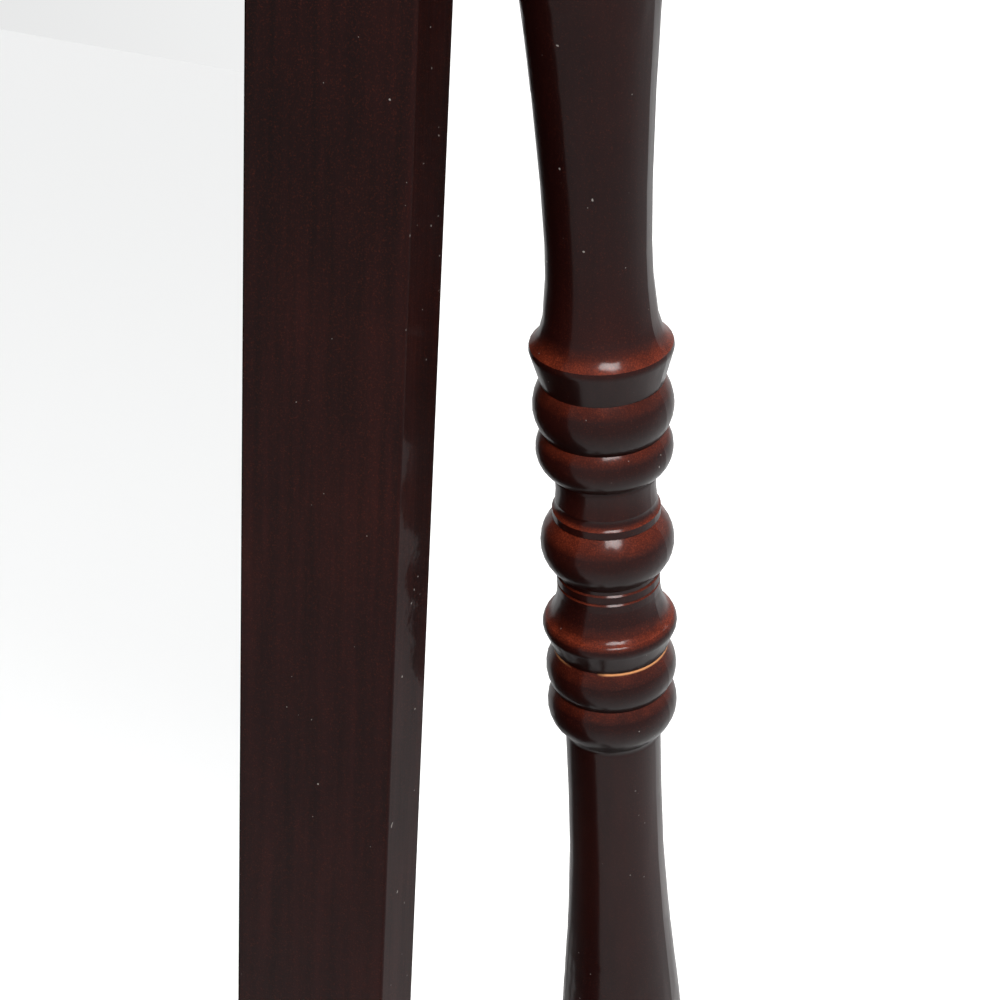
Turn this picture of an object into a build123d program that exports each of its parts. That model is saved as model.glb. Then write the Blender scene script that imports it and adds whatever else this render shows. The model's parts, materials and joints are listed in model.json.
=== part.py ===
from build123d import *
import os
from math import cos, radians, sin

# Free-standing jewelry armoire: a shallow mirrored cabinet that leans between two turned posts.
# Origin on the floor, midway between the four feet.  +Z up, +X to the viewer's right, -Y to the front.

os.makedirs("parts", exist_ok=True)

# ---------------------------------------------------------------- driving dimensions (mm, degrees)
PIVOT_HEIGHT = 840.0        # tilt axis above the floor
LEAN = 11.5                 # how far the cabinet leans back at rest
FRAME_WIDTH = 370.0         # mirror frame, outside
FRAME_HEIGHT = 1220.0
FRAME_THICKNESS = 17.0
STILE_WIDTH = 52.0
PIVOT_SETBACK = 24.0        # frame's front face to the tilt axis
POST_GAP = 25.0             # frame's outer edge to a post's centre line
BOX_INSET = 44.0            # box side inside the frame's outer edge
BOX_TOP_INSET = 40.0
BOX_DEPTH = 62.0            # box behind the frame
WALL = 10.0
BACK_THICKNESS = 4.0
LINER_THICKNESS = 2.0
ARRIS = 0.8                 # softened corners of the flat stock
CLEARANCE = 0.3             # between bodies that pass each other

BLOCK_SIZE = 41.0           # square parts of a post
PIVOT_BLOCK_HALF = 34.0
BASE_BLOCK_TOP = 225.0
BASE_BLOCK_BOTTOM = 78.0
BLOCK_CHAMFER = 2.2
CLUSTER_DROP = 255.0        # middle of a ring cluster from the tilt axis
RING_RADIUS = 20.2
NECK_RADIUS = 14.7
GROOVE_RADIUS = 17.6
POST_TOP_RISE = 182.0       # top cluster's middle to the finial seat

FOOT_REACH = 200.0          # toe from a post's centre line
FOOT_THICKNESS = 27.0
FOOT_ROUND = 3.0
GLIDE_HEIGHT = 4.0
GLIDE_RADIUS = 11.0
GLIDE_INSET = 25.0          # glide's centre behind the toe
GLIDE_ROUND = 1.2

PIVOT_BLOCK_DEPTH = 34.0    # cabinet's own block at the pivot
PIVOT_BLOCK_HEIGHT = 70.0
PIVOT_BLOCK_ROUND = 8.0
INSERT_LENGTH = 22.0
STUD_DIAMETER = 8.0
STUD_IN_KNOB = 16.0
STUD_CHAMFER = 0.8
WASHER_RADIUS = 12.0
RUNNING_GAP = 0.05          # radial clearance round a turning pin
PANEL_THICKNESS = 11.5
GLASS_THICKNESS = 3.0
GLASS_SETBACK = 0.3         # glass face behind the frame's face
OPENING_GAP = 0.6           # reveal at the door's free edge
HINGE_GAP = 1.2             # reveal at the door's pivoted edge
END_GAP = 1.5               # reveal above and below the door
DOOR_AXIS_INSET = 6.5       # door's pivot axis from its left edge and from the frame's face
DOOR_PIN_RADIUS = 2.5
DOOR_PIN_LENGTH = 8.0
DOOR_BUSHING_WALL = 1.0
HINGE_PLATE_LENGTH = 44.0
HINGE_PLATE_WIDTH = 8.0
HINGE_PLATE_THICKNESS = 2.0
KNOB_X = 110.0              # door knob from the middle of the door
SCREW_RADIUS = 2.0
SCREW_HEAD_RADIUS = 4.0
SCREW_HEAD_HEIGHT = 1.4
SCREW_REACH = 14.0          # of the knob's screw beyond the glass
CATCH_HEIGHT = -120.0       # magnetic catch below the tilt axis
CATCH_SIZE = 14.0
CATCH_LENGTH = 44.0
CATCH_GAP = 0.7             # between the catch and its strike plate
STRIKE_WIDTH = 12.0
STRIKE_LENGTH = 36.0
STRIKE_THICKNESS = 1.2

BUSHING_RADIUS = 6.0
FINIAL_DOWEL_RADIUS = 5.0
FINIAL_DOWEL_LENGTH = 16.0
FOOT_DOWEL_RADIUS = 4.0
FOOT_DOWEL_LENGTH = 28.0
STRETCHER_THICKNESS = 20.0
STRETCHER_LOW = 122.0
STRETCHER_HIGH = 190.0
BOLT_RADIUS = 3.0
BOLT_HEAD_RADIUS = 5.5
BOLT_HEAD_HEIGHT = 4.0
BOLT_LENGTH = 62.0
CAP_THICKNESS = 3.0         # part of a cap that sits in its hole
CAP_LIP = 1.5               # how far a cap's rim covers, and how thick it is
CAP_ROUND = 0.7
HEX_SOCKET_RADIUS = 2.4
HEX_SOCKET_DEPTH = 3.0
BARREL_RADIUS = 5.0
BARREL_INSET = 32.0         # barrel nut from the stretcher's end
KNOB_RADIUS = 21.0
KNOB_LENGTH = 30.0
SHELF_THICKNESS = 8.0
SHELF_HEIGHTS = (150.0, 2.0, -250.0, -400.0)      # shelf undersides on the cabinet's own height
SHELF_DEPTH = 46.0
SHELF_ROUND = 2.0
GUARD_RADIUS = 3.0
GUARD_RISE = 34.0           # rail above the underside of its shelf
GUARD_INSET = 6.0           # rail behind the shelf's front edge
HOOK_COUNT = 10
HOOK_MARGIN = 16.0          # end hooks from the box side
HOOK_STRIP_THICKNESS = 8.0
HOOK_STRIP_WIDTH = 24.0
HOOK_WIRE_RADIUS = 1.2
HOOK_BASE_RADIUS = 3.6
HOOK_SHANK = 8.0
HOOK_DROP = 5.0
HOOK_CUP_RADIUS = 4.0
HOOK_TIP_RISE = 3.0
HOOK_BALL_RADIUS = 1.9
RING_ROLL_COUNT = 8
RING_ROLL_PITCH = 15.0
RING_ROLL_DEPTH = 14.0
RING_ROLL_GAP = 1.6
RING_BOARD_THICKNESS = 4.0
RING_BOARD_SETBACK = 4.0    # board's back in front of the liner
EARRING_BAR_WIDTH = 26.0
EARRING_BAR_THICKNESS = 3.0
EARRING_BAR_SETBACK = 24.0
EARRING_HOLE_RADIUS = 1.3
PAD_THICKNESS = 5.0
PAD_MARGIN = 4.0
PAD_CORNER = 6.0
PAD_ROUND = 1.5
BACK_SCREW_RADIUS = 2.2
EARRING_BAR_HEIGHTS = (-48.0, -112.0, -176.0)

# ---------------------------------------------------------------- derived places
POST_X = FRAME_WIDTH / 2 + POST_GAP
HALF_BLOCK = BLOCK_SIZE / 2
OPENING_HALF = FRAME_WIDTH / 2 - STILE_WIDTH
OPENING_TOP = FRAME_HEIGHT / 2 - STILE_WIDTH
FRONT = -PIVOT_SETBACK
FRAME_BACK = FRONT + FRAME_THICKNESS
BOX_BACK = FRAME_BACK + BOX_DEPTH
BOX_HALF = FRAME_WIDTH / 2 - BOX_INSET
INSIDE_HALF = BOX_HALF - WALL
BOX_TOP = FRAME_HEIGHT / 2 - BOX_TOP_INSET
INSIDE_TOP = BOX_TOP - WALL
INSIDE_BACK = BOX_BACK - BACK_THICKNESS - LINER_THICKNESS
DOOR_LEFT = -OPENING_HALF + HINGE_GAP
DOOR_RIGHT = OPENING_HALF - OPENING_GAP
DOOR_TOP = OPENING_TOP - END_GAP
DOOR_AXIS_X = DOOR_LEFT + DOOR_AXIS_INSET
DOOR_AXIS_Y = FRONT + DOOR_AXIS_INSET
DOOR_BACK = FRONT + GLASS_SETBACK + GLASS_THICKNESS + PANEL_THICKNESS

LOWER_CLUSTER = PIVOT_HEIGHT - CLUSTER_DROP
UPPER_CLUSTER = PIVOT_HEIGHT + CLUSTER_DROP
POST_TOP = UPPER_CLUSTER + POST_TOP_RISE
BOLT_PLACES = [(0, 140.0), (0, 174.0)]              # across the post, height
FOOT_DOWEL_PLACES = [(0, 122.0), (0, 182.0)]

# The leaning cabinet's own plane: X across, Y to its back, Z up its height, origin on the tilt axis.
lean = radians(LEAN)
cabinet = Plane(origin=(0, 0, PIVOT_HEIGHT), x_dir=(1, 0, 0), z_dir=(0, sin(lean), cos(lean)))
cabinet_up = Axis(cabinet.origin, cabinet.z_dir)
cabinet_back = Axis(cabinet.origin, cabinet.y_dir)
SIDES = ((-1, "left"), (1, "right"))


def cabinet_plane(x, y, z, normal):
    """A plane on the cabinet: at (x, y, z) of its own axes, facing right, front or up."""
    origin = cabinet.from_local_coords((x, y, z))
    if normal == "right":
        return Plane(origin=origin, x_dir=cabinet.y_dir, z_dir=cabinet.x_dir)
    if normal == "front":
        return Plane(origin=origin, x_dir=cabinet.x_dir, z_dir=-cabinet.y_dir)
    return Plane(origin=origin, x_dir=cabinet.x_dir, z_dir=cabinet.z_dir)


def write_piece(piece, name):
    """Label a finished piece and write its STEP file."""
    piece.part.label = name
    export_step(piece.part, f"parts/{name}.step")


# ---------------------------------------------------------------- turned posts
def turned_outline(centre, up):
    """Half outline from a pivot block, down the vase and the ring cluster, to the far neck."""

    def at(radius, rise):
        return (radius, centre + up * rise)

    block_rise = CLUSTER_DROP - PIVOT_BLOCK_HALF
    vase_top = at(RING_RADIUS, block_rise - 24)
    neck = at(NECK_RADIUS, 92)
    down = (0, -up)
    # bead under the square block, then the vase down to the upper neck
    Polyline(at(0, block_rise + 2), at(17.5, block_rise + 2), at(17.5, block_rise - 5))
    ThreePointArc(at(17.5, block_rise - 5), at(20, block_rise - 9.5), at(17.5, block_rise - 14))
    Line(at(17.5, block_rise - 14), at(17, block_rise - 17))
    ThreePointArc(at(17, block_rise - 17), at(19.4, block_rise - 20.2), vase_top)
    Spline(vase_top, at(18.05, 162), at(15.95, 130), neck, tangents=(down, down))
    # flare and sharp shoulder with a chamfered underside
    shoulder = at(RING_RADIUS, 66)
    Spline(neck, at(15.4, 80), shoulder, tangents=(down, (1, -0.75 * up)))
    ThreePointArc(shoulder, at(RING_RADIUS + 0.25, 64.8), at(RING_RADIUS, 63.6))
    Line(at(RING_RADIUS, 63.6), at(GROOVE_RADIUS, 54.4))
    # two rings, a fillet and the plain neck
    ThreePointArc(at(GROOVE_RADIUS, 54.4), at(RING_RADIUS, 46.6), at(GROOVE_RADIUS, 38.6))
    ThreePointArc(at(GROOVE_RADIUS, 38.6), at(19.8, 31.8), at(16.8, 25.8))
    Polyline(at(16.8, 25.8), at(15.6, 25.4), at(15.6, 24), at(14.9, 23.6))
    ThreePointArc(at(14.9, 23.6), at(14.6, 19.5), at(14.9, 15.6))
    # small cove and fillet above the bead
    ThreePointArc(at(14.9, 15.6), at(15.1, 13.4), at(15.9, 12.4))
    Polyline(at(15.9, 12.4), at(15.9, 10.1), at(15.5, 9.9))
    ThreePointArc(at(15.5, 9.9), at(19.75, 0.7), at(15.2, -8.5))
    # second neck with two scribed lines
    Polyline(
        at(15.2, -8.5), at(15, -9.8), at(15.4, -10.3), at(15.4, -12.6), at(15, -13), at(15.4, -13.5),
        at(15.4, -16),
    )
    # bell flare with a rounded lip and a chamfered underside
    lip = at(19.2, -25.6)
    Spline(at(15.4, -16), at(16.3, -20.6), lip, tangents=(down, (1, -0.5 * up)))
    ThreePointArc(lip, at(RING_RADIUS, -27.6), at(19.8, -29.8))
    Polyline(at(19.8, -29.8), at(17.5, -36), at(17.1, -36.6), at(17.5, -37.3))
    # two rings and the far neck
    ThreePointArc(at(17.5, -37.3), at(19.85, -44), at(GROOVE_RADIUS, -50.7))
    ThreePointArc(at(GROOVE_RADIUS, -50.7), at(19.9, -58.6), at(16, -66.6))
    ThreePointArc(at(16, -66.6), at(15.1, -67.8), at(14.8, -70))
    Line(at(14.8, -70), at(14.8, -92))
    return at(14.8, -92)


for side, name in SIDES:
    profile_plane = Plane(origin=(side * POST_X, 0, 0), x_dir=(1, 0, 0), z_dir=(0, -1, 0))
    post_axis = Axis((side * POST_X, 0, 0), (0, 0, 1))
    outer_face = Plane(origin=(side * (POST_X + HALF_BLOCK), 0, 0), x_dir=(0, 1, 0), z_dir=(1, 0, 0))
    with BuildPart() as post:
        # lower turning, from the pivot block to the base block
        with BuildSketch(profile_plane):
            with BuildLine():
                neck_end = turned_outline(LOWER_CLUSTER, 1)
                belly = (21.4, LOWER_CLUSTER - 222)
                ankle = (15.6, BASE_BLOCK_TOP + 44)
                bead_top = (18.6, BASE_BLOCK_TOP + 32)
                bead_low = (18.2, BASE_BLOCK_TOP + 18)
                ring_low = (17.8, BASE_BLOCK_TOP + 6)
                down = (0, -1)
                Spline(
                    neck_end, (15.85, LOWER_CLUSTER - 131.5), (18.45, LOWER_CLUSTER - 167), belly,
                    tangents=(down, down),
                )
                Spline(belly, (19.6, BASE_BLOCK_TOP + 84), ankle, tangents=(down, down))
                ThreePointArc(ankle, (16.4, BASE_BLOCK_TOP + 36), bead_top)
                ThreePointArc(bead_top, (20.4, BASE_BLOCK_TOP + 25), bead_low)
                ThreePointArc(bead_low, (20.2, BASE_BLOCK_TOP + 12), ring_low)
                Polyline(
                    ring_low, (17.8, BASE_BLOCK_TOP - 2), (0, BASE_BLOCK_TOP - 2),
                    (0, PIVOT_HEIGHT - PIVOT_BLOCK_HALF + 2),
                )
            make_face()
        revolve(axis=post_axis)
        # upper turning, from the pivot block to the finial seat
        with BuildSketch(profile_plane):
            with BuildLine():
                neck_end = turned_outline(UPPER_CLUSTER, -1)
                bulb = (19.4, POST_TOP - 26)
                throat = (15.6, POST_TOP - 12)
                seat_edge = (17.4, POST_TOP - 6)
                Spline(neck_end, (16.6, POST_TOP - 60), bulb, tangents=((0, 1), (0, 1)))
                ThreePointArc(bulb, (18.6, POST_TOP - 17), throat)
                ThreePointArc(throat, (15.4, POST_TOP - 8.5), seat_edge)
                block_root = (0, PIVOT_HEIGHT + PIVOT_BLOCK_HALF - 2)
                Polyline(seat_edge, (17.4, POST_TOP), (0, POST_TOP), block_root)
            make_face()
        revolve(axis=post_axis)
        # square blocks at the pivot and at the feet, with chamfered ends
        with BuildSketch(Plane(origin=(side * POST_X, 0, PIVOT_HEIGHT - PIVOT_BLOCK_HALF))):
            Rectangle(BLOCK_SIZE, BLOCK_SIZE)
        extrude(amount=2 * PIVOT_BLOCK_HALF)
        with BuildSketch(Plane(origin=(side * POST_X, 0, BASE_BLOCK_BOTTOM))):
            Rectangle(BLOCK_SIZE, BLOCK_SIZE)
        extrude(amount=BASE_BLOCK_TOP - BASE_BLOCK_BOTTOM)
        straight_edges = post.edges().filter_by(GeomType.LINE)
        chamfer(straight_edges.filter_by(Axis.X) + straight_edges.filter_by(Axis.Y), BLOCK_CHAMFER)
        # turned drop under the base block
        with BuildSketch(profile_plane):
            with BuildLine():
                drop_edge = (15, BASE_BLOCK_BOTTOM - 4)
                drop_tip = (0, BASE_BLOCK_BOTTOM - 20)
                Polyline(drop_tip, (0, BASE_BLOCK_BOTTOM + 2), (15, BASE_BLOCK_BOTTOM + 2), drop_edge)
                Spline(drop_edge, drop_tip, tangents=((0, -1), (-1, 0)))
            make_face()
        revolve(axis=post_axis)
        # bore for the tilt bushing, through the block from side to side
        with BuildSketch(outer_face.offset(-side * HALF_BLOCK)):
            with Locations((0, PIVOT_HEIGHT)):
                Circle(BUSHING_RADIUS)
        extrude(amount=HALF_BLOCK + 1, both=True, mode=Mode.SUBTRACT)
        # socket for the finial's dowel
        with BuildSketch(Plane(origin=(side * POST_X, 0, POST_TOP))):
            Circle(FINIAL_DOWEL_RADIUS)
        extrude(amount=-FINIAL_DOWEL_LENGTH, mode=Mode.SUBTRACT)
        # stretcher bolt holes, counterbored from the outside
        with BuildSketch(outer_face):
            with Locations(*BOLT_PLACES):
                Circle(BOLT_RADIUS)
        extrude(amount=-side * (BLOCK_SIZE + 1), mode=Mode.SUBTRACT)
        with BuildSketch(outer_face):
            with Locations(*BOLT_PLACES):
                Circle(BOLT_HEAD_RADIUS)
        extrude(amount=-side * (BOLT_HEAD_HEIGHT + CAP_THICKNESS), mode=Mode.SUBTRACT)
        # dowel holes for the front and rear feet
        for direction in (-1, 1):
            foot_face = Plane(
                origin=(side * POST_X, direction * HALF_BLOCK, 0), x_dir=(1, 0, 0), z_dir=(0, -1, 0)
            )
            with BuildSketch(foot_face):
                with Locations(*FOOT_DOWEL_PLACES):
                    Circle(FOOT_DOWEL_RADIUS)
            extrude(amount=direction * FOOT_DOWEL_LENGTH / 2, mode=Mode.SUBTRACT)
    write_piece(post, f"post_{name}")

    # urn finial on each post, with its own dowel
    with BuildPart() as finial:
        with BuildSketch(profile_plane):
            with BuildLine():
                seat = (17.4, POST_TOP)
                waist = (8.2, POST_TOP + 12)
                urn = (17.6, POST_TOP + 30)
                collar = (6.4, POST_TOP + 50)
                tip = (0, POST_TOP + 70)
                Polyline(seat, (17.4, POST_TOP + 4), (14.6, POST_TOP + 5.5))
                Spline((14.6, POST_TOP + 5.5), waist, tangents=((-1, 0.3), (0, 1)))
                Spline(waist, urn, collar, tangents=((0.2, 1), (-0.2, 1)))
                Spline(collar, (7.6, POST_TOP + 60), tip, tangents=((0.4, 1), (-1, 0)))
                dowel_end = POST_TOP - FINIAL_DOWEL_LENGTH
                Polyline(
                    tip, (0, dowel_end), (FINIAL_DOWEL_RADIUS, dowel_end),
                    (FINIAL_DOWEL_RADIUS, POST_TOP), seat,
                )
            make_face()
        revolve(axis=post_axis)
    write_piece(finial, f"finial_{name}")

    # curved feet, one to the front and one to the rear of each post
    for direction, place in ((-1, "front"), (1, "rear")):
        foot_root = (side * POST_X, direction * HALF_BLOCK, 0)
        foot_plane = Plane(origin=foot_root, x_dir=(0, direction, 0), z_dir=(direction, 0, 0))
        with BuildPart() as foot:
            with BuildSketch(foot_plane):
                with BuildLine():
                    toe = FOOT_REACH - HALF_BLOCK
                    knee = (44, 192)
                    instep = (118, 72)
                    toe_top = (toe - 9, 34)
                    toe_tip = (toe, 20)
                    sole_front = (toe - 11, GLIDE_HEIGHT)
                    sole_back = (toe - 39, GLIDE_HEIGHT)
                    arch = (toe - 62, 38)
                    Line((0, 206), (18, 206))
                    Spline((18, 206), knee, instep, toe_top, tangents=((1, 0), (1, 0.1)))
                    ThreePointArc(toe_top, (toe - 2.2, 29), toe_tip)
                    ThreePointArc(toe_tip, (toe - 3.5, 8.5), sole_front)
                    Line(sole_front, sole_back)
                    Spline(sole_back, arch, (58, 92), (0, 98), tangents=((-0.4, 1), (-1, 0)))
                    Line((0, 98), (0, 206))
                make_face()
            extrude(amount=FOOT_THICKNESS / 2, both=True)
            rounded = foot.edges().filter_by(GeomType.BSPLINE)
            fillet(rounded, FOOT_ROUND)
            with BuildSketch(Plane(origin=foot_root, x_dir=(1, 0, 0), z_dir=(0, -1, 0))):
                with Locations(*FOOT_DOWEL_PLACES):
                    Circle(FOOT_DOWEL_RADIUS)
            extrude(amount=-direction * FOOT_DOWEL_LENGTH / 2, mode=Mode.SUBTRACT)
        write_piece(foot, f"foot_{place}_{name}")

# ---------------------------------------------------------------- stand's rail and fixings
STRETCHER_HALF = POST_X - HALF_BLOCK
BOLT_SEAT = POST_X + HALF_BLOCK - CAP_THICKNESS - BOLT_HEAD_HEIGHT
BOLT_END = BOLT_SEAT - BOLT_LENGTH
NUT_X = STRETCHER_HALF - BARREL_INSET
NUT_PLACES = [(side * NUT_X, height) for side, name in SIDES for across, height in BOLT_PLACES]


def end_plane(x):
    """Upright plane across the stand at x, with its own X to the rear."""
    return Plane(origin=(x, 0, 0), x_dir=(0, 1, 0), z_dir=(1, 0, 0))


with BuildPart() as stretcher:
    with BuildSketch(Plane.XZ):
        with BuildLine():
            low_end = (STRETCHER_HALF, STRETCHER_LOW)
            low_turn = (STRETCHER_HALF - 45, STRETCHER_LOW)
            top_turn = (STRETCHER_HALF - 45, STRETCHER_HIGH)
            arch_low = (0, STRETCHER_LOW + 26)
            arch_top = (0, STRETCHER_HIGH + 14)
            Line(arch_top, arch_low)
            Spline(arch_low, low_turn, tangents=((1, 0), (1, -0.5)))
            Polyline(low_turn, low_end, (STRETCHER_HALF, STRETCHER_HIGH), top_turn)
            Spline(top_turn, arch_top, tangents=((-1, 0.3), (-1, 0)))
        make_face()
        mirror(about=Plane.YZ)
    extrude(amount=STRETCHER_THICKNESS / 2, both=True)
    for side, name in SIDES:
        with BuildSketch(end_plane(side * STRETCHER_HALF)):
            with Locations(*BOLT_PLACES):
                Circle(BOLT_RADIUS)
        extrude(amount=-side * (STRETCHER_HALF - BOLT_END), mode=Mode.SUBTRACT)
    with BuildSketch(Plane.XZ):
        with Locations(*NUT_PLACES):
            Circle(BARREL_RADIUS)
    extrude(amount=STRETCHER_THICKNESS / 2, both=True, mode=Mode.SUBTRACT)
write_piece(stretcher, "lower_stretcher")

with BuildPart() as stretcher_bolts:
    for side, name in SIDES:
        with BuildSketch(end_plane(side * BOLT_SEAT)):
            with Locations(*BOLT_PLACES):
                Circle(BOLT_RADIUS)
        extrude(amount=-side * BOLT_LENGTH)
        with BuildSketch(end_plane(side * BOLT_SEAT)):
            with Locations(*BOLT_PLACES):
                Circle(BOLT_HEAD_RADIUS)
        extrude(amount=side * BOLT_HEAD_HEIGHT)
        with BuildSketch(end_plane(side * (BOLT_SEAT + BOLT_HEAD_HEIGHT))):
            with Locations(*BOLT_PLACES):
                RegularPolygon(HEX_SOCKET_RADIUS, 6)
        extrude(amount=-side * HEX_SOCKET_DEPTH, mode=Mode.SUBTRACT)
write_piece(stretcher_bolts, "stretcher_bolts")

with BuildPart() as barrel_nuts:
    with BuildSketch(Plane.XZ):
        with Locations(*NUT_PLACES):
            Circle(BARREL_RADIUS)
    extrude(amount=STRETCHER_THICKNESS / 2 - 1, both=True)
    with BuildSketch(Plane.YZ):
        with Locations(*BOLT_PLACES):
            Circle(BOLT_RADIUS)
    extrude(amount=POST_X, both=True, mode=Mode.SUBTRACT)
write_piece(barrel_nuts, "barrel_nuts")

with BuildPart() as bolt_caps:
    for side, name in SIDES:
        outer_face = end_plane(side * (POST_X + HALF_BLOCK))
        with BuildSketch(outer_face):
            with Locations(*BOLT_PLACES):
                Circle(BOLT_HEAD_RADIUS)
        extrude(amount=-side * CAP_THICKNESS)
        with BuildSketch(outer_face):
            with Locations(*BOLT_PLACES):
                Circle(BOLT_HEAD_RADIUS + CAP_LIP)
        extrude(amount=side * CAP_LIP)
    cap_faces = bolt_caps.faces().sort_by(Axis.X)
    fillet((cap_faces[:2] + cap_faces[-2:]).edges(), CAP_ROUND)
write_piece(bolt_caps, "bolt_caps")

FOOT_DOWELS = [(side * POST_X, height) for side, name in SIDES for across, height in FOOT_DOWEL_PLACES]
with BuildPart() as foot_dowels:
    for direction in (-1, 1):
        with BuildSketch(Plane.XZ.offset(-direction * HALF_BLOCK)):
            with Locations(*FOOT_DOWELS):
                Circle(FOOT_DOWEL_RADIUS)
        extrude(amount=FOOT_DOWEL_LENGTH / 2, both=True)
write_piece(foot_dowels, "foot_dowels")

with BuildPart() as foot_glides:
    with BuildSketch(Plane.XY):
        with GridLocations(2 * POST_X, 2 * (FOOT_REACH - GLIDE_INSET), 2, 2):
            Circle(GLIDE_RADIUS)
    extrude(amount=GLIDE_HEIGHT)
    fillet(foot_glides.faces().sort_by(Axis.Z)[:4].edges(), GLIDE_ROUND)
write_piece(foot_glides, "foot_glides")

# ---------------------------------------------------------------- tilt pivots and their hand knobs
KNOB_SEAT = POST_X + HALF_BLOCK
WASHER_GAP = POST_GAP - HALF_BLOCK
with BuildPart() as pivot_bushings:
    for side, name in SIDES:
        with BuildSketch(Plane.YZ.offset(side * POST_X)):
            with Locations((0, PIVOT_HEIGHT)):
                Circle(BUSHING_RADIUS)
                Circle(STUD_DIAMETER / 2 + RUNNING_GAP, mode=Mode.SUBTRACT)
        extrude(amount=HALF_BLOCK, both=True)
write_piece(pivot_bushings, "pivot_bushings")

with BuildPart() as pivot_washers:
    for side, name in SIDES:
        with BuildSketch(Plane.YZ.offset(side * FRAME_WIDTH / 2)):
            with Locations((0, PIVOT_HEIGHT)):
                Circle(WASHER_RADIUS)
                Circle(STUD_DIAMETER / 2 + CLEARANCE, mode=Mode.SUBTRACT)
        extrude(amount=side * (WASHER_GAP - CLEARANCE))
write_piece(pivot_washers, "pivot_washers")

with BuildPart() as pivot_inserts:
    for side, name in SIDES:
        with BuildSketch(Plane.YZ.offset(side * FRAME_WIDTH / 2)):
            with Locations((0, PIVOT_HEIGHT)):
                Circle(BUSHING_RADIUS)
                Circle(STUD_DIAMETER / 2 + RUNNING_GAP, mode=Mode.SUBTRACT)
        extrude(amount=-side * INSERT_LENGTH)
write_piece(pivot_inserts, "pivot_inserts")

for side, name in SIDES:
    knob_plane = Plane(origin=(side * KNOB_SEAT, 0, PIVOT_HEIGHT), x_dir=(side, 0, 0), z_dir=(0, -side, 0))
    stud_axis = Axis((0, 0, PIVOT_HEIGHT), (1, 0, 0))
    with BuildPart() as knob:
        with BuildSketch(knob_plane):
            with BuildLine():
                rim = (KNOB_LENGTH * 0.55, KNOB_RADIUS)
                Polyline((1, STUD_DIAMETER / 2), (1, 13), (4, 13))
                Spline((4, 13), (8, 13.6), rim, tangents=((1, 0), (0.25, 1)))
                Spline(rim, (KNOB_LENGTH, 0), tangents=((0.6, 1), (0, -1)))
                socket = (STUD_IN_KNOB, STUD_DIAMETER / 2)
                Polyline((KNOB_LENGTH, 0), (STUD_IN_KNOB, 0), socket, (1, STUD_DIAMETER / 2))
            make_face()
        revolve(axis=stud_axis)
    write_piece(knob, f"tilt_knob_{name}")

    with BuildPart() as stud:
        with BuildSketch(Plane.YZ.offset(side * (KNOB_SEAT + STUD_IN_KNOB))):
            with Locations((0, PIVOT_HEIGHT)):
                Circle(STUD_DIAMETER / 2)
        extrude(amount=-side * (STUD_IN_KNOB + BLOCK_SIZE + WASHER_GAP + INSERT_LENGTH - 2))
        chamfer(stud.edges().sort_by(Axis.X)[0 if side > 0 else -1], STUD_CHAMFER)
    write_piece(stud, f"tilt_stud_{name}")

# ---------------------------------------------------------------- mirror frame
for side, name in SIDES:
    with BuildPart(cabinet) as stile:
        with Locations((side * (FRAME_WIDTH - STILE_WIDTH) / 2, FRONT + FRAME_THICKNESS / 2, 0)):
            Box(STILE_WIDTH, FRAME_THICKNESS, FRAME_HEIGHT)
        outer = stile.edges().filter_by(cabinet_up).group_by(Axis.X)[0 if side < 0 else -1]
        fillet(outer, ARRIS)
    write_piece(stile, f"frame_stile_{name}")

for end, name in ((-1, "bottom"), (1, "top")):
    with BuildPart(cabinet) as rail:
        with Locations((0, FRONT + FRAME_THICKNESS / 2, end * (FRAME_HEIGHT - STILE_WIDTH) / 2)):
            Box(2 * OPENING_HALF, FRAME_THICKNESS, STILE_WIDTH)
        with BuildSketch(cabinet_plane(DOOR_AXIS_X, DOOR_AXIS_Y, end * OPENING_TOP, "up")):
            Circle(DOOR_PIN_RADIUS + DOOR_BUSHING_WALL)
        extrude(amount=end * (DOOR_PIN_LENGTH + 1), mode=Mode.SUBTRACT)
    write_piece(rail, f"frame_rail_{name}")

# ---------------------------------------------------------------- box behind the frame
for side, name in SIDES:
    with BuildPart(cabinet) as box_side:
        with Locations((side * (BOX_HALF - WALL / 2), (FRAME_BACK + BOX_BACK) / 2, 0)):
            Box(WALL, BOX_DEPTH, 2 * BOX_TOP)
        # rebate for the back panel
        with Locations((side * (INSIDE_HALF + WALL / 4), BOX_BACK - BACK_THICKNESS / 2, 0)):
            Box(WALL / 2, BACK_THICKNESS, 2 * BOX_TOP, mode=Mode.SUBTRACT)
    write_piece(box_side, f"box_side_{name}")

    # block that carries the tilt pivot, between the box side and the frame's overhang
    with BuildPart(cabinet) as pivot_block:
        block_x = side * (BOX_HALF + BOX_INSET / 2)
        with Locations((block_x, FRAME_BACK + PIVOT_BLOCK_DEPTH / 2, 0)):
            Box(BOX_INSET, PIVOT_BLOCK_DEPTH, PIVOT_BLOCK_HEIGHT)
        fillet(pivot_block.edges().filter_by(Axis.X).sort_by(cabinet_back)[-2:], PIVOT_BLOCK_ROUND)
        with BuildSketch(Plane.YZ.offset(side * FRAME_WIDTH / 2)):
            with Locations((0, PIVOT_HEIGHT)):
                Circle(BUSHING_RADIUS)
        extrude(amount=-side * (INSERT_LENGTH + 4), mode=Mode.SUBTRACT)
    write_piece(pivot_block, f"pivot_block_{name}")

for end, name in ((-1, "bottom"), (1, "top")):
    with BuildPart(cabinet) as box_end:
        with Locations((0, (FRAME_BACK + BOX_BACK - BACK_THICKNESS) / 2, end * (BOX_TOP - WALL / 2))):
            Box(2 * INSIDE_HALF, BOX_DEPTH - BACK_THICKNESS, WALL)
    write_piece(box_end, f"box_{name}")

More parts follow.
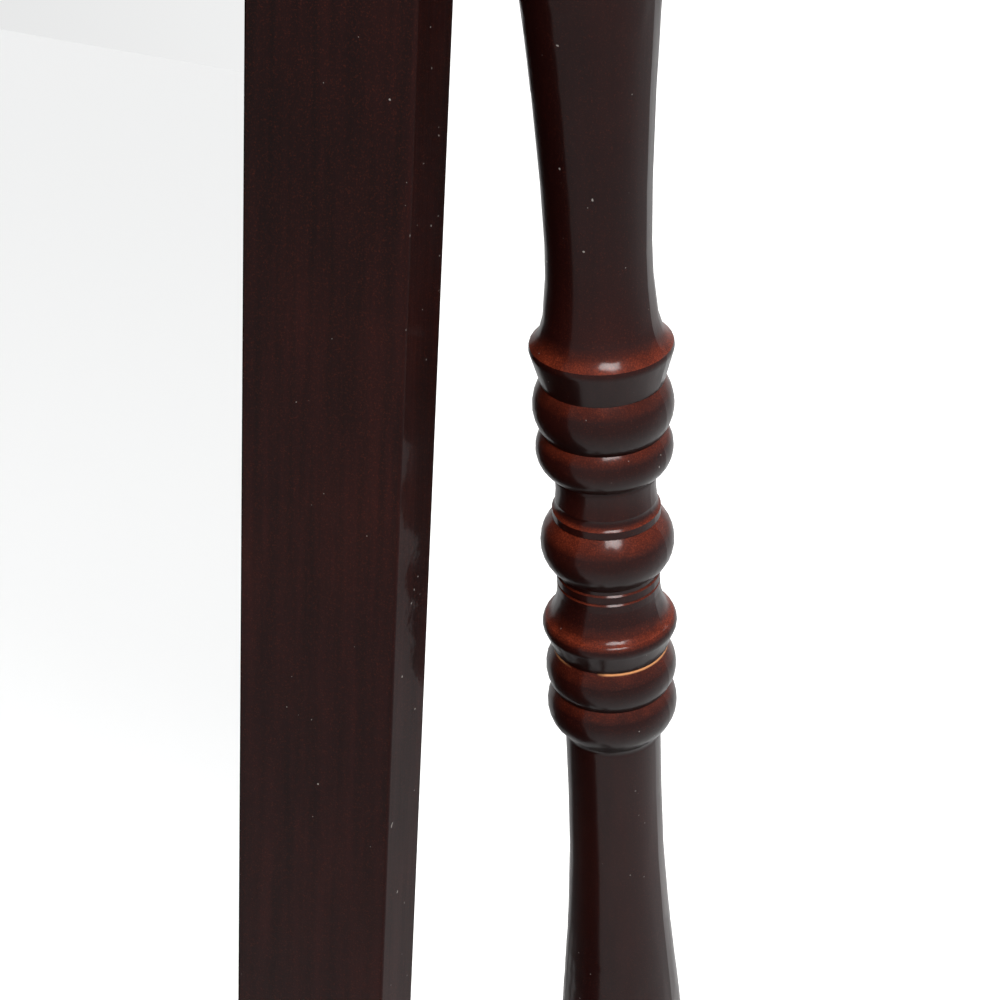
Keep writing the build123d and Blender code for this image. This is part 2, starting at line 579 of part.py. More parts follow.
with BuildPart(cabinet) as back_panel:
    with Locations((0, BOX_BACK - BACK_THICKNESS / 2, 0)):
        Box(2 * INSIDE_HALF + WALL, BACK_THICKNESS, 2 * BOX_TOP)
write_piece(back_panel, "back_panel")

with BuildPart(cabinet) as back_liner:
    with Locations((0, INSIDE_BACK + LINER_THICKNESS / 2, 0)):
        Box(2 * (INSIDE_HALF - CLEARANCE), LINER_THICKNESS, 2 * (INSIDE_TOP - CLEARANCE))
write_piece(back_liner, "back_liner")

SCREW_HEIGHTS = [row * (BOX_TOP - 20) / 3 for row in range(-3, 4)]
SCREW_X = INSIDE_HALF + WALL / 4
SCREW_PLACES = [(side * SCREW_X, height) for side, name in SIDES for height in SCREW_HEIGHTS]
with BuildPart(cabinet) as back_screws:
    with BuildSketch(cabinet_plane(0, BOX_BACK, 0, "front")):
        with Locations(*SCREW_PLACES):
            Circle(BACK_SCREW_RADIUS)
    extrude(amount=-SCREW_HEAD_HEIGHT)
    head_faces = back_screws.faces().filter_by(GeomType.PLANE).sort_by(cabinet_back)[-len(SCREW_PLACES):]
    chamfer(head_faces.edges(), 0.5)
write_piece(back_screws, "back_screws")

# ---------------------------------------------------------------- shelves and what they hold
SHELF_NAMES = ("necklace", "ring", "earring", "bracelet")
for height, name in zip(SHELF_HEIGHTS, SHELF_NAMES):
    with BuildPart(cabinet) as shelf:
        with Locations((0, INSIDE_BACK - SHELF_DEPTH / 2, height + SHELF_THICKNESS / 2)):
            Box(2 * INSIDE_HALF, SHELF_DEPTH, SHELF_THICKNESS)
        front_edges = shelf.edges().filter_by(Axis.X).sort_by(cabinet_back)[:2]
        fillet(front_edges, SHELF_ROUND)
    write_piece(shelf, f"shelf_{name}")

# round guard rails in front of the two open shelves and the floor of the box
OPEN_FLOORS = (SHELF_HEIGHTS[2], SHELF_HEIGHTS[3], -INSIDE_TOP - SHELF_THICKNESS)
GUARD_PLACES = [(INSIDE_BACK - SHELF_DEPTH + GUARD_INSET, height + GUARD_RISE) for height in OPEN_FLOORS]
with BuildPart() as guard_rails:
    with BuildSketch(cabinet_plane(-INSIDE_HALF, 0, 0, "right")):
        with Locations(*GUARD_PLACES):
            Circle(GUARD_RADIUS)
    extrude(amount=2 * INSIDE_HALF)
write_piece(guard_rails, "guard_rails")

# necklace hooks on a wooden strip at the top of the hanging space
HOOK_HEIGHT = INSIDE_TOP - 34
HOOK_PITCH = 2 * (INSIDE_HALF - HOOK_MARGIN) / (HOOK_COUNT - 1)
with BuildPart(cabinet) as hook_strip:
    with Locations((0, INSIDE_BACK - HOOK_STRIP_THICKNESS / 2, HOOK_HEIGHT)):
        Box(2 * INSIDE_HALF, HOOK_STRIP_THICKNESS, HOOK_STRIP_WIDTH)
    fillet(hook_strip.edges().filter_by(Axis.X).sort_by(cabinet_back)[:2], SHELF_ROUND)
write_piece(hook_strip, "hook_strip")

HOOK_FRONT = INSIDE_BACK - HOOK_STRIP_THICKNESS
with BuildPart() as necklace_hooks:
    for index in range(HOOK_COUNT):
        x = -INSIDE_HALF + HOOK_MARGIN + index * HOOK_PITCH
        # screwed base and straight shank
        with BuildSketch(cabinet_plane(x, HOOK_FRONT, HOOK_HEIGHT, "front")):
            Circle(HOOK_BASE_RADIUS)
        extrude(amount=HOOK_WIRE_RADIUS)
        with BuildSketch(cabinet_plane(x, HOOK_FRONT, HOOK_HEIGHT, "front")):
            Circle(HOOK_WIRE_RADIUS)
        extrude(amount=HOOK_SHANK)
        # bend down, then round and up again
        bend_y = HOOK_FRONT - HOOK_SHANK
        bend_z = HOOK_HEIGHT - HOOK_DROP
        with BuildSketch(cabinet_plane(x, bend_y, HOOK_HEIGHT, "front")):
            Circle(HOOK_WIRE_RADIUS)
        revolve(axis=Axis(cabinet.from_local_coords((x, bend_y, bend_z)), (1, 0, 0)), revolution_arc=90)
        cup_y = bend_y - HOOK_DROP
        with BuildSketch(cabinet_plane(x, cup_y, bend_z, "up")):
            Circle(HOOK_WIRE_RADIUS)
        cup_centre = cabinet.from_local_coords((x, cup_y - HOOK_CUP_RADIUS, bend_z))
        revolve(axis=Axis(cup_centre, (-1, 0, 0)), revolution_arc=180)
        tip_y = cup_y - 2 * HOOK_CUP_RADIUS
        with BuildSketch(cabinet_plane(x, tip_y, bend_z, "up")):
            Circle(HOOK_WIRE_RADIUS)
        extrude(amount=HOOK_TIP_RISE)
        with Locations(cabinet.from_local_coords((x, tip_y, bend_z + HOOK_TIP_RISE))):
            Sphere(HOOK_BALL_RADIUS)
write_piece(necklace_hooks, "necklace_hooks")

# backing board and padded rolls that grip rings
RING_BOARD_LOW = SHELF_HEIGHTS[1] + SHELF_THICKNESS
RING_BOARD_HEIGHT = RING_ROLL_COUNT * RING_ROLL_PITCH + 4
RING_BOARD_FRONT = INSIDE_BACK - RING_BOARD_SETBACK - RING_BOARD_THICKNESS
with BuildPart(cabinet) as ring_board:
    with Locations((0, RING_BOARD_FRONT + RING_BOARD_THICKNESS / 2, RING_BOARD_LOW + RING_BOARD_HEIGHT / 2)):
        Box(2 * INSIDE_HALF - 4, RING_BOARD_THICKNESS, RING_BOARD_HEIGHT)
write_piece(ring_board, "ring_board")

ROLL_MARGIN = 5.0
with BuildPart() as ring_rolls:
    with BuildSketch(cabinet_plane(-INSIDE_HALF + ROLL_MARGIN, 0, 0, "right")):
        for index in range(RING_ROLL_COUNT):
            roll_height = RING_BOARD_LOW + 2 + (index + 0.5) * RING_ROLL_PITCH
            with Locations((RING_BOARD_FRONT - RING_ROLL_DEPTH / 2, roll_height)):
                SlotOverall(RING_ROLL_DEPTH, RING_ROLL_PITCH - RING_ROLL_GAP)
    extrude(amount=2 * (INSIDE_HALF - ROLL_MARGIN))
write_piece(ring_rolls, "ring_rolls")

# earring bars with rows of wire holes
with BuildPart() as earring_bars:
    for height in EARRING_BAR_HEIGHTS:
        with BuildSketch(cabinet_plane(0, INSIDE_BACK - EARRING_BAR_SETBACK, height, "front")):
            Rectangle(2 * INSIDE_HALF, EARRING_BAR_WIDTH)
            with GridLocations(15, 12, 16, 2):
                Circle(EARRING_HOLE_RADIUS, mode=Mode.SUBTRACT)
        extrude(amount=EARRING_BAR_THICKNESS)
write_piece(earring_bars, "earring_bars")

# padded liners on the open shelves and on the floor of the box
with BuildPart() as shelf_pads:
    for height in OPEN_FLOORS:
        pad_low = height + SHELF_THICKNESS + CLEARANCE
        with BuildSketch(cabinet_plane(0, INSIDE_BACK - SHELF_DEPTH / 2, pad_low, "up")):
            RectangleRounded(2 * (INSIDE_HALF - PAD_MARGIN), SHELF_DEPTH - 2 * PAD_MARGIN, PAD_CORNER)
        extrude(amount=PAD_THICKNESS)
    fillet(shelf_pads.edges().filter_by(GeomType.LINE).filter_by(Axis.X), PAD_ROUND)
write_piece(shelf_pads, "shelf_pads")

# ---------------------------------------------------------------- mirror door
DOOR_WIDTH = DOOR_RIGHT - DOOR_LEFT
DOOR_MIDDLE = (DOOR_LEFT + DOOR_RIGHT) / 2
GLASS_FACE = FRONT + GLASS_SETBACK
PANEL_FRONT = GLASS_FACE + GLASS_THICKNESS
PIVOT_PLATES = [
    (DOOR_LEFT + HINGE_PLATE_LENGTH / 2, DOOR_AXIS_Y + 1, end * (DOOR_TOP - HINGE_PLATE_THICKNESS / 2))
    for end in (-1, 1)
]
with BuildPart(cabinet) as door_panel:
    with Locations((DOOR_MIDDLE, PANEL_FRONT + PANEL_THICKNESS / 2, 0)):
        Box(DOOR_WIDTH, PANEL_THICKNESS, 2 * DOOR_TOP)
    # seats let into the ends for the pivot plates
    with Locations(*PIVOT_PLATES):
        Box(HINGE_PLATE_LENGTH, HINGE_PLATE_WIDTH, HINGE_PLATE_THICKNESS, mode=Mode.SUBTRACT)
    with BuildSketch(cabinet_plane(KNOB_X, PANEL_FRONT, 0, "front")):
        Circle(SCREW_RADIUS)
    extrude(amount=-PANEL_THICKNESS, mode=Mode.SUBTRACT)
write_piece(door_panel, "door_panel")

# the glass stops short of the pivoted edge, so that it clears the stile as the door turns
GLASS_INSET = 3.0
with BuildPart(cabinet) as mirror_glass:
    with Locations((DOOR_MIDDLE + GLASS_INSET / 2, GLASS_FACE + GLASS_THICKNESS / 2, 0)):
        Box(DOOR_WIDTH - GLASS_INSET, GLASS_THICKNESS, 2 * DOOR_TOP)
    with BuildSketch(cabinet_plane(KNOB_X, PANEL_FRONT, 0, "front")):
        Circle(SCREW_RADIUS)
    extrude(amount=GLASS_THICKNESS, mode=Mode.SUBTRACT)
write_piece(mirror_glass, "mirror_glass")

# pivot plates with the pins the door turns on
with BuildPart(cabinet) as door_pivots:
    with Locations(*PIVOT_PLATES):
        Box(HINGE_PLATE_LENGTH, HINGE_PLATE_WIDTH, HINGE_PLATE_THICKNESS)
    for end in (-1, 1):
        with BuildSketch(cabinet_plane(DOOR_AXIS_X, DOOR_AXIS_Y, end * DOOR_TOP, "up")):
            Circle(DOOR_PIN_RADIUS)
        extrude(amount=end * DOOR_PIN_LENGTH)
write_piece(door_pivots, "door_pivots")

with BuildPart() as door_bushings:
    for end in (-1, 1):
        with BuildSketch(cabinet_plane(DOOR_AXIS_X, DOOR_AXIS_Y, end * OPENING_TOP, "up")):
            Circle(DOOR_PIN_RADIUS + DOOR_BUSHING_WALL)
            Circle(DOOR_PIN_RADIUS + RUNNING_GAP, mode=Mode.SUBTRACT)
        extrude(amount=end * (DOOR_PIN_LENGTH + 1))
write_piece(door_bushings, "door_bushings")

# turned door knob and the screw that holds it through the glass
with BuildPart() as door_knob:
    with BuildSketch(cabinet_plane(KNOB_X, GLASS_FACE, 0, "right")):
        with BuildLine():
            Polyline((0, SCREW_RADIUS), (0, 8), (-2, 8), (-3.2, 5.2))
            Spline((-3.2, 5.2), (-9, 4.6), (-16, 10), (-24, 0), tangents=((-1, -0.3), (0, -1)))
            Polyline((-24, 0), (-SCREW_REACH, 0), (-SCREW_REACH, SCREW_RADIUS), (0, SCREW_RADIUS))
        make_face()
    revolve(axis=Axis(cabinet.from_local_coords((KNOB_X, 0, 0)), cabinet.y_dir))
write_piece(door_knob, "door_knob")

with BuildPart() as knob_screw:
    with BuildSketch(cabinet_plane(KNOB_X, DOOR_BACK, 0, "front")):
        Circle(SCREW_RADIUS)
    extrude(amount=PANEL_THICKNESS + GLASS_THICKNESS + SCREW_REACH)
    # head with a cross slot
    with BuildSketch(cabinet_plane(KNOB_X, DOOR_BACK, 0, "front")):
        Circle(SCREW_HEAD_RADIUS)
        Rectangle(0.9, 5, mode=Mode.SUBTRACT)
        Rectangle(5, 0.9, mode=Mode.SUBTRACT)
    extrude(amount=-SCREW_HEAD_HEIGHT)
write_piece(knob_screw, "knob_screw")

# magnetic catch on the box side, its strike plate on the door
CATCH_FRONT = DOOR_BACK + STRIKE_THICKNESS + CATCH_GAP
CATCH_X = INSIDE_HALF - CATCH_SIZE / 2
with BuildPart(cabinet) as magnetic_catch:
    with Locations((CATCH_X, CATCH_FRONT + CATCH_SIZE / 2, CATCH_HEIGHT)):
        Box(CATCH_SIZE, CATCH_SIZE, CATCH_LENGTH)
    fillet(magnetic_catch.edges().filter_by(Axis.X), 1.2)
write_piece(magnetic_catch, "magnetic_catch")

with BuildPart(cabinet) as strike_plate:
    with Locations((CATCH_X, DOOR_BACK + STRIKE_THICKNESS / 2, CATCH_HEIGHT)):
        Box(STRIKE_WIDTH, STRIKE_THICKNESS, STRIKE_LENGTH)
    fillet(strike_plate.edges().filter_by(cabinet_back), 3)
write_piece(strike_plate, "strike_plate")
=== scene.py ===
import json
import math

import bmesh
import bpy
from mathutils import Matrix, Vector, noise


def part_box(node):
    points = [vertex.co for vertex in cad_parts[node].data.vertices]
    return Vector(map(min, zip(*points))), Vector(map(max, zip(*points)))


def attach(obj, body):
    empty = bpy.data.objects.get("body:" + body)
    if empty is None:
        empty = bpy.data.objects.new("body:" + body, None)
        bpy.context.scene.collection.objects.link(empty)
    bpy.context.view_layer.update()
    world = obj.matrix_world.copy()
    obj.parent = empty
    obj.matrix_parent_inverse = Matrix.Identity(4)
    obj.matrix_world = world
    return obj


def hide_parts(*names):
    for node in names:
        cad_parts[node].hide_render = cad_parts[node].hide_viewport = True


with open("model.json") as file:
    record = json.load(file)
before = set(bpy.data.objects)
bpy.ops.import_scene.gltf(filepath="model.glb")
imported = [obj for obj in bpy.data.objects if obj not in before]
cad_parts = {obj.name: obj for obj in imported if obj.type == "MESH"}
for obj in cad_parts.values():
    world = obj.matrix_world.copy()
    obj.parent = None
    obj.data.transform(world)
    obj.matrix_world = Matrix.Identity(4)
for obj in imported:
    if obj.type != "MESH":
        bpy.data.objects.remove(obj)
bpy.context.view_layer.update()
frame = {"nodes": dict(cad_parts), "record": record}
nodes = frame["nodes"]
record = frame["record"]
joints = {joint["name"]: joint for joint in record["behaviour"]["joints"]}
slots = {part["node"]: part["material_slot"] for part in record["subparts"]}


# ---------------------------------------------------------------- places read from the frame
def middle(node):
    """Centre of a node's box at rest."""
    low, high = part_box(node)
    return (Vector(low) + Vector(high)) / 2


tilt_axis = Vector(joints["cabinet_tilt"]["pos_m"])
door_axis = -Vector(joints["mirror_door_swing"]["axis"])
lean = math.atan2(door_axis.y, door_axis.z)
post_x = middle("post_right").x
# the cabinet's own axes: X across, Y to its back, Z up its height, from the tilt axis
cabinet_frame = Matrix.Translation(tilt_axis) @ Matrix.Rotation(-lean, 4, "X")
to_cabinet = cabinet_frame.inverted()


def cabinet_box(node):
    """A cabinet node's lowest and highest corners on the cabinet's own axes."""
    points = [to_cabinet @ vertex.co for vertex in nodes[node].data.vertices]
    low = Vector([min(point[i] for point in points) for i in range(3)])
    high = Vector([max(point[i] for point in points) for i in range(3)])
    return low, high


# ---------------------------------------------------------------- camera and stage
CLUSTER_DROP = 0.255        # middle of the lower ring cluster below the tilt axis
CAMERA_OFFSET = Vector((0.2585, -0.4573, 0.3414))      # camera from the middle of that cluster
CAMERA_AZIMUTH = 32.839
CAMERA_ELEVATION = 31.818
CAMERA_ROLL = -3.528
CAMERA_LENS = 76.59
CAMERA_SENSOR = 36.0
FLOOR_REACH = 20
FLOOR_GREY = 0.93
WORLD_STRENGTH = 1.05
OVERHEAD_STRENGTH = 1.4
SOFTBOX_POWER = 60
KEY_POWER = 12
KEY_SPREAD = 70
cluster = Vector((post_x, 0, tilt_axis.z - CLUSTER_DROP))


def make_camera():
    """Close three-quarter view, from the front right and above, of the right post and stile."""
    azimuth = math.radians(CAMERA_AZIMUTH)
    elevation = math.radians(CAMERA_ELEVATION)
    forward = Vector((
        -math.sin(azimuth) * math.cos(elevation),
        math.cos(azimuth) * math.cos(elevation),
        -math.sin(elevation),
    ))
    camera = bpy.data.objects.new("camera", bpy.data.cameras.new("camera"))
    bpy.context.scene.collection.objects.link(camera)
    camera.location = cluster + CAMERA_OFFSET
    camera.rotation_mode = "QUATERNION"
    roll = Matrix.Rotation(math.radians(CAMERA_ROLL), 4, "Z").to_quaternion()
    camera.rotation_quaternion = forward.to_track_quat("-Z", "Y") @ roll
    camera.data.lens = CAMERA_LENS
    camera.data.sensor_width = CAMERA_SENSOR
    camera.data.clip_start = 0.02
    bpy.context.scene.camera = camera


def area_light(name, place, target, size, power, spread=180):
    """A soft rectangular light that faces a point, with its beam's spread in degrees."""
    data = bpy.data.lights.new(name, "AREA")
    data.shape = "RECTANGLE"
    data.size, data.size_y = size
    data.energy = power
    data.spread = math.radians(spread)
    light = bpy.data.objects.new(name, data)
    light.location = place
    light.rotation_mode = "QUATERNION"
    light.rotation_quaternion = (Vector(target) - Vector(place)).to_track_quat("-Z", "Y")
    bpy.context.scene.collection.objects.link(light)


def make_floor():
    """Wide pale floor."""
    mesh = bpy.data.meshes.new("floor")
    reach = FLOOR_REACH
    corners = [(-reach, -reach, 0), (reach, -reach, 0), (reach, reach, 0), (-reach, reach, 0)]
    mesh.from_pydata(corners, [], [(0, 1, 2, 3)])
    floor = bpy.data.objects.new("floor", mesh)
    bpy.context.scene.collection.objects.link(floor)
    shader = Shader("pale_floor")
    shader.set(Base_Color=(FLOOR_GREY, FLOOR_GREY, FLOOR_GREY, 1), Roughness=0.75)
    mesh.materials.append(shader.material)


def make_surroundings():
    """White studio walls, a little dimmer to the left, under a dimmer ceiling."""
    world = bpy.data.worlds.new("studio")
    bpy.context.scene.world = world
    world.use_nodes = True
    tree = world.node_tree
    background = tree.nodes["Background"]
    coordinates = tree.nodes.new("ShaderNodeTexCoord")
    split = tree.nodes.new("ShaderNodeSeparateXYZ")
    height = tree.nodes.new("ShaderNodeValToRGB")
    side = tree.nodes.new("ShaderNodeValToRGB")
    both = tree.nodes.new("ShaderNodeMix")
    both.data_type = "RGBA"
    both.blend_type = "MULTIPLY"
    both.inputs["Factor"].default_value = 1.0
    tree.links.new(coordinates.outputs["Generated"], split.inputs["Vector"])
    tree.links.new(split.outputs["Z"], height.inputs["Fac"])
    shift = tree.nodes.new("ShaderNodeMath")
    shift.operation = "MULTIPLY_ADD"
    shift.inputs[1].default_value = 0.5
    shift.inputs[2].default_value = 0.5
    tree.links.new(split.outputs["X"], shift.inputs[0])
    tree.links.new(shift.outputs[0], side.inputs["Fac"])
    tree.links.new(height.outputs["Color"], both.inputs[6])
    tree.links.new(side.outputs["Color"], both.inputs[7])
    tree.links.new(both.outputs[2], background.inputs["Color"])
    stops = ((height, 0.1, 1.0, 0.5, 0.5), (side, 0.16, 0.8, 0.3, 1.0))
    for ramp, low_place, low, high_place, high in stops:
        first, last = ramp.color_ramp.elements
        first.position, last.position = low_place, high_place
        first.color = (low, low, low, 1)
        last.color = (high, high, high, 1)
    background.inputs["Strength"].default_value = WORLD_STRENGTH


def make_overhead():
    """Wide, even light from straight above, which no glossy surface mirrors."""
    data = bpy.data.lights.new("overhead", "SUN")
    data.energy = OVERHEAD_STRENGTH
    data.angle = math.radians(90)
    light = bpy.data.objects.new("overhead", data)
    light.visible_glossy = False
    bpy.context.scene.collection.objects.link(light)


def make_stage():
    """Floor, walls and lights, shown without film-like tone mapping."""
    bpy.context.scene.view_settings.view_transform = "Standard"
    make_floor()
    make_surroundings()
    make_overhead()
    area_light("back_softbox", (0.9, 2.3, 2.8), (0.1, 1.2, 0), (1.6, 1.6), SOFTBOX_POWER)
    area_light("key_light", (1.2, -1.05, 2.2), cluster, (1.0, 0.7), KEY_POWER, KEY_SPREAD)


# ---------------------------------------------------------------- shader node helpers
class Shader:
    """A material's node tree, built by short calls."""

    def __init__(self, name):
        self.material = bpy.data.materials.new(name)
        self.material.use_nodes = True
        self.tree = self.material.node_tree
        self.bsdf = self.tree.nodes["Principled BSDF"]

    def node(self, kind, **inputs):
        made = self.tree.nodes.new(kind)
        for key, value in inputs.items():
            self.put(made.inputs[key.replace("_", " ")], value)
        return made

    def put(self, socket, value):
        if isinstance(value, bpy.types.NodeSocket):
            self.tree.links.new(value, socket)
        else:
            socket.default_value = value

    def set(self, **inputs):
        for key, value in inputs.items():
            self.put(self.bsdf.inputs[key.replace("_", " ")], value)

    def mapping(self, scale, rotation=(0, 0, 0)):
        """The piece's own coordinates in metres, turned and then scaled."""
        coordinates = self.node("ShaderNodeTexCoord")
        place = coordinates.outputs["Object"]
        turned = self.node("ShaderNodeMapping", Vector=place, Rotation=rotation).outputs["Vector"]
        return self.node("ShaderNodeMapping", Vector=turned, Scale=scale).outputs["Vector"]

    def noise(self, vector, scale, detail=4.0, roughness=0.55):
        made = self.node(
            "ShaderNodeTexNoise", Vector=vector, Scale=scale, Detail=detail, Roughness=roughness
        )
        return made.outputs["Fac"]

    def ramp(self, factor, *stops):
        """Colour ramp from (place, colour) stops."""
        made = self.node("ShaderNodeValToRGB", Fac=factor)
        elements = made.color_ramp.elements
        while len(elements) < len(stops):
            elements.new(0.5)
        for element, (place, color) in zip(elements, stops):
            element.position = place
            element.color = (*color, 1)
        return made.outputs["Color"]

    def grey(self, factor, low_place, low, high_place, high):
        """Ramp between two grey values."""
        return self.ramp(factor, (low_place, (low,) * 3), (high_place, (high,) * 3))

    def math(self, operation, first, second=0.0, third=0.0):
        made = self.tree.nodes.new("ShaderNodeMath")
        made.operation = operation
        self.put(made.inputs[0], first)
        self.put(made.inputs[1], second)
        self.put(made.inputs[2], third)
        return made.outputs[0]

    def mix(self, factor, first, second, blend="MIX"):
        made = self.tree.nodes.new("ShaderNodeMix")
        made.data_type = "RGBA"
        made.blend_type = blend
        self.put(made.inputs["Factor"], factor)
        self.put(made.inputs[6], first)
        self.put(made.inputs[7], second)
        return made.outputs[2]

    def bump(self, height, strength, distance=0.001):
        made = self.node("ShaderNodeBump", Height=height, Strength=strength, Distance=distance)
        return made.outputs["Normal"]


def paint(material, *names):
    """Give CAD nodes or pieces a material."""
    for name in names:
        thing = nodes[name] if name in nodes else bpy.data.objects[name]
        thing.data.materials.clear()
        thing.data.materials.append(material)


# ---------------------------------------------------------------- materials
ALONG_X = (0, math.pi / 2, 0)
ALONG_Y = (math.pi / 2, 0, 0)
ALONG_Z = (0, 0, 0)
ALONG_CABINET = (lean, 0, 0)


DARK_STAIN = (0.011, 0.0021, 0.0019)
MIDDLE_STAIN = (0.017, 0.003, 0.0025)
LIGHT_STAIN = (0.03, 0.0052, 0.0036)
SPECK_ORANGE = (0.1, 0.02, 0.008)
SPECK_SHARE = 0.4
DUST_GREY = (0.14, 0.13, 0.12)
# colour of the painted glow on the upward-facing curves of turnings, standing in for light from above
PAINTED_TOP_GLOW = (0.1, 0.0145, 0.005, 1)
BARE_WOOD = (0.38, 0.17, 0.07, 1)
WORN_GROOVE = 0.0366        # groove under a cluster's collar, from the cluster's middle
PER_MILLIMETRE = 1000.0


def stained_wood(name, rotation, lacquer, coat_roughness, depth, turned=False):
    """Near-black red-brown stain with its grain along the turned Z axis, under clear lacquer."""
    shader = Shader(name)
    along = shader.mapping((1, 1, 0.05), rotation)
    plain = shader.mapping((1, 1, 1), rotation)
    clouds = shader.noise(plain, 11, 3)
    streaks = shader.noise(along, 230, 6, 0.62)
    pores = shader.noise(along, 900, 3, 0.5)
    specks = shader.noise(plain, 2300, 2, 0.6)
    dust = shader.noise(plain, 700, 0, 0.3)
    stain = shader.ramp(clouds, (0.3, DARK_STAIN), (0.5, MIDDLE_STAIN), (0.75, LIGHT_STAIN))
    faint, strong = (0.85, 1.1) if turned else (0.55, 1.2)
    grain = shader.grey(streaks, 0.36, faint * depth, 0.66, strong * depth)
    color = shader.mix(1.0, stain, grain, "MULTIPLY")
    glow = shader.ramp(specks, (0.55, (0, 0, 0)), (0.75, SPECK_ORANGE))
    color = shader.mix(SPECK_SHARE * depth, color, glow, "ADD")
    if turned:
        # turned pieces: painted top glow and painted under-shade, then grooves rubbed to bare wood
        color = paint_top_glow_and_under_shade(shader, color, plain, specks)
        color = worn_grooves(shader, color, plain)
    mote = shader.ramp(dust, (0.87, (0, 0, 0)), (0.89, DUST_GREY))
    color = shader.mix(1.0, color, mote, "ADD")
    shader.set(Base_Color=color, Roughness=shader.grey(streaks, 0.3, 0.5, 0.7, 0.4))
    shader.set(Specular_IOR_Level=0.03, Coat_Weight=lacquer, Coat_Roughness=coat_roughness, Coat_IOR=1.45)
    peel = shader.noise(plain, 160, 2)
    fine = shader.math("ADD", shader.math("MULTIPLY", pores, 0.5), streaks)
    shader.set(Normal=shader.bump(fine, 0.12, 0.0004), Coat_Normal=shader.bump(peel, 0.035, 0.002))
    return shader.material


def paint_top_glow_and_under_shade(shader, color, plain, specks):
    """Painted light on turnings: an orange-red painted glow where the surface faces up, and painted shade
    darkening the surfaces that face down.
    """
    normal = shader.node("ShaderNodeNewGeometry").outputs["Normal"]
    facing_up = shader.node("ShaderNodeSeparateXYZ", Vector=normal).outputs["Z"]
    upper = shader.grey(facing_up, 0.3, 0, 0.85, 1)
    patchy = shader.grey(shader.noise(plain, 170, 3), 0.3, 0.5, 0.65, 1)
    grainy = shader.grey(specks, 0.35, 0.45, 0.65, 1.2)
    # painted glow mask: strongest where the surface faces up, broken into patches and grains
    top_glow_mask = shader.mix(1.0, shader.mix(1.0, upper, patchy, "MULTIPLY"), grainy, "MULTIPLY")
    red = shader.mix(1.0, top_glow_mask, PAINTED_TOP_GLOW, "MULTIPLY")
    # painted shade: the colour darkened where the surface faces down
    halved = shader.math("MULTIPLY_ADD", facing_up, 0.5, 0.5)
    color = shader.mix(1.0, color, shader.grey(halved, 0.25, 0.3, 0.6, 1), "MULTIPLY")
    return shader.mix(1.0, color, red, "ADD")


def worn_grooves(shader, color, plain):
    """One groove in each ring cluster rubbed to bare wood in places."""
    place = shader.node("ShaderNodeTexCoord").outputs["Object"]
    height = shader.node("ShaderNodeSeparateXYZ", Vector=place).outputs["Z"]
    rubs = shader.grey(shader.noise(plain, 55, 3), 0.42, 0, 0.55, 1)
    below = cluster.z - WORN_GROOVE
    for groove in (below, 2 * tilt_axis.z - below):
        away = shader.math("ABSOLUTE", shader.math("SUBTRACT", height, groove))
        line = shader.grey(shader.math("MULTIPLY", away, PER_MILLIMETRE), 0.2, 1, 0.6, 0)
        bare = shader.node("ShaderNodeRGBToBW", Color=shader.mix(1.0, line, rubs, "MULTIPLY"))
        color = shader.mix(bare.outputs[0], color, BARE_WOOD)
    return color


def painted_board():
    """Fibreboard with a flat dark paint that keeps a fine roller stipple."""
    shader = Shader("painted_board")
    plain = shader.mapping((1, 1, 1))
    stipple = shader.noise(plain, 900, 3)
    scuffs = shader.noise(plain, 24, 5)
    tone = shader.ramp(scuffs, (0.3, (0.0135, 0.0054, 0.0048)), (0.75, (0.0175, 0.0067, 0.0059)))
    shader.set(Base_Color=tone)
    shader.set(Roughness=shader.grey(scuffs, 0.3, 0.5, 0.7, 0.68), Specular_IOR_Level=0.15)
    shader.set(Normal=shader.bump(stipple, 0.3, 0.0003))
    return shader.material


def bare_dowel():
    """Unstained beech with fine fibres along the dowel."""
    shader = Shader("bare_beech")
    along = shader.mapping((1, 0.06, 1))
    fibres = shader.noise(along, 700, 4)
    shader.set(Base_Color=shader.ramp(fibres, (0.35, (0.4, 0.24, 0.12)), (0.7, (0.62, 0.43, 0.26))))
    shader.set(Roughness=0.7, Normal=shader.bump(fibres, 0.2, 0.0003))
    return shader.material


def metal(name, dark, light, roughness, brush):
    """Metal with fine brushing and duller patches."""
    shader = Shader(name)
    lines = shader.noise(shader.mapping(brush), 600, 3)
    patches = shader.noise(shader.mapping((1, 1, 1)), 90, 4)
    shader.set(Base_Color=shader.ramp(patches, (0.3, dark), (0.7, light)), Metallic=1.0)
    shader.set(Roughness=shader.grey(patches, 0.3, roughness + 0.1, 0.7, roughness))
    shader.set(Normal=shader.bump(lines, 0.06, 0.0002))
    return shader.material


def moulded_plastic(name, color):
    """Fine-grained moulded plastic."""
    shader = Shader(name)
    plain = shader.mapping((1, 1, 1))
    grain = shader.noise(plain, 1400, 2)
    tone = shader.noise(plain, 60, 3)
    darker = tuple(0.7 * channel for channel in color)
    shader.set(Base_Color=shader.ramp(tone, (0.3, darker), (0.7, color)))
    shader.set(Roughness=shader.grey(tone, 0.3, 0.45, 0.7, 0.58), Normal=shader.bump(grain, 0.15, 0.0002))
    return shader.material


def velvet():
    """Short pile, with nap patches that catch the light and fine tufts."""
    shader = Shader("tan_velvet")
    plain = shader.mapping((1, 1, 1))
    tufts = shader.noise(plain, 1800, 3, 0.6)
    nap = shader.noise(plain, 30, 3)
    tone = shader.ramp(nap, (0.25, (0.24, 0.167, 0.106)), (0.8, (0.3, 0.212, 0.136)))
    shade = shader.grey(tufts, 0.3, 0.62, 0.7, 1.1)
    shader.set(Base_Color=shader.mix(0.8, tone, shade, "MULTIPLY"), Roughness=0.9)
    shader.set(Sheen_Weight=0.55, Sheen_Roughness=0.4, Sheen_Tint=(0.95, 0.82, 0.66, 1))
    shader.set(Normal=shader.bump(tufts, 0.6, 0.0005), Specular_IOR_Level=0.1)
    return shader.material


